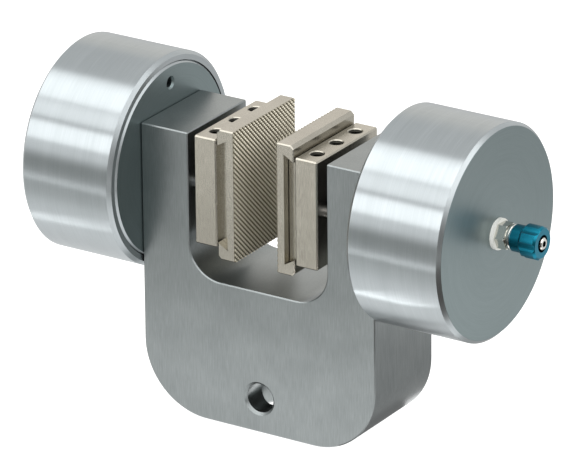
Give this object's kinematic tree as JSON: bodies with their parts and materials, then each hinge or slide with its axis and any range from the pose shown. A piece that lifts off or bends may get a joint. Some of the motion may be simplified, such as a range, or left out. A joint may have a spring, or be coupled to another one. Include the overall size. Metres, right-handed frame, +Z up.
{
  "type": "tensile test grip",
  "caption": "Pneumatic tensile test grip: a U-shaped yoke with an air cylinder on each arm, serrated jaws facing each other, and a pinned coupling foot.",
  "frame": {"origin": "middle of the yoke's flat foot, on the surface that it stands on", "axes": "+X along the jaw axis towards the right cylinder, +Y away from the front, +Z up along the loading axis"},
  "size_m": [0.2682, 0.1, 0.1623],
  "materials": {
    "anodised_grey": "satin hard-anodised",
    "turned_aluminium": "fine turned",
    "nickel_plated_steel": "ground and nickel plated",
    "polished_steel": "polished",
    "black_oxide_steel": "black oxide",
    "bronze": "plain",
    "nickel_plated_brass": "bright nickel plate",
    "anodised_blue": "blue anodised",
    "white_nylon": "moulded",
    "black_rubber": "moulded"
  },
  "bodies": {
    "grip_body": {"yoke": "anodised_grey", "left_cylinder_cup": "turned_aluminium", "right_cylinder_cup": "turned_aluminium", "left_cylinder_cover": "turned_aluminium", "right_cylinder_cover": "turned_aluminium", "left_cover_screws": "black_oxide_steel", "right_cover_screws": "black_oxide_steel", "left_rod_bush": "bronze", "right_rod_bush": "bronze", "left_rod_wiper": "black_rubber", "right_rod_wiper": "black_rubber", "left_return_spring": "polished_steel", "right_return_spring": "polished_steel", "left_port_washer": "white_nylon", "right_port_washer": "white_nylon", "left_air_fitting": "nickel_plated_brass", "right_air_fitting": "nickel_plated_brass"},
    "left_carriage": {"left_piston": "turned_aluminium", "left_piston_seal": "black_rubber", "left_piston_guide_ring": "white_nylon", "left_piston_rod": "polished_steel", "left_piston_nut": "black_oxide_steel", "left_guide_pins": "polished_steel", "left_jaw_holder": "nickel_plated_steel", "left_clamp_screw": "black_oxide_steel"},
    "right_carriage": {"right_piston": "turned_aluminium", "right_piston_seal": "black_rubber", "right_piston_guide_ring": "white_nylon", "right_piston_rod": "polished_steel", "right_piston_nut": "black_oxide_steel", "right_guide_pins": "polished_steel", "right_jaw_holder": "nickel_plated_steel", "right_clamp_screw": "black_oxide_steel"},
    "left_jaw": {"left_jaw_face": "nickel_plated_steel"},
    "right_jaw": {"right_jaw_face": "nickel_plated_steel"},
    "left_nut": {"left_union_nut": "anodised_blue"},
    "right_nut": {"right_union_nut": "anodised_blue"}
  },
  "joints": [
    {"name": "left_jaw_slide", "type": "slide", "parent": "grip_body", "child": "left_carriage", "axis": [1, 0, 0], "range_m": [0, 0.0108], "stiffness_N_per_m": 3000, "springref_m": -0.012, "deforming": ["left_return_spring"]},
    {"name": "right_jaw_slide", "type": "slide", "parent": "grip_body", "child": "right_carriage", "axis": [-1, 0, 0], "range_m": [0, 0.0108], "stiffness_N_per_m": 3000, "springref_m": -0.012, "deforming": ["right_return_spring"]},
    {"name": "left_jaw_face_slide", "type": "slide", "parent": "left_carriage", "child": "left_jaw", "axis": [0, -1, 0], "range_m": [-0.044, 0.044]},
    {"name": "right_jaw_face_slide", "type": "slide", "parent": "right_carriage", "child": "right_jaw", "axis": [0, -1, 0], "range_m": [-0.044, 0.044]},
    {"name": "left_union_nut_turn", "type": "hinge", "parent": "grip_body", "child": "left_nut", "pos_m": [-0.1264, 0, 0.1123], "axis": [1, 0, 0], "continuous": true},
    {"name": "right_union_nut_turn", "type": "hinge", "parent": "grip_body", "child": "right_nut", "pos_m": [0.1264, 0, 0.1123], "axis": [1, 0, 0], "continuous": true}
  ]
}
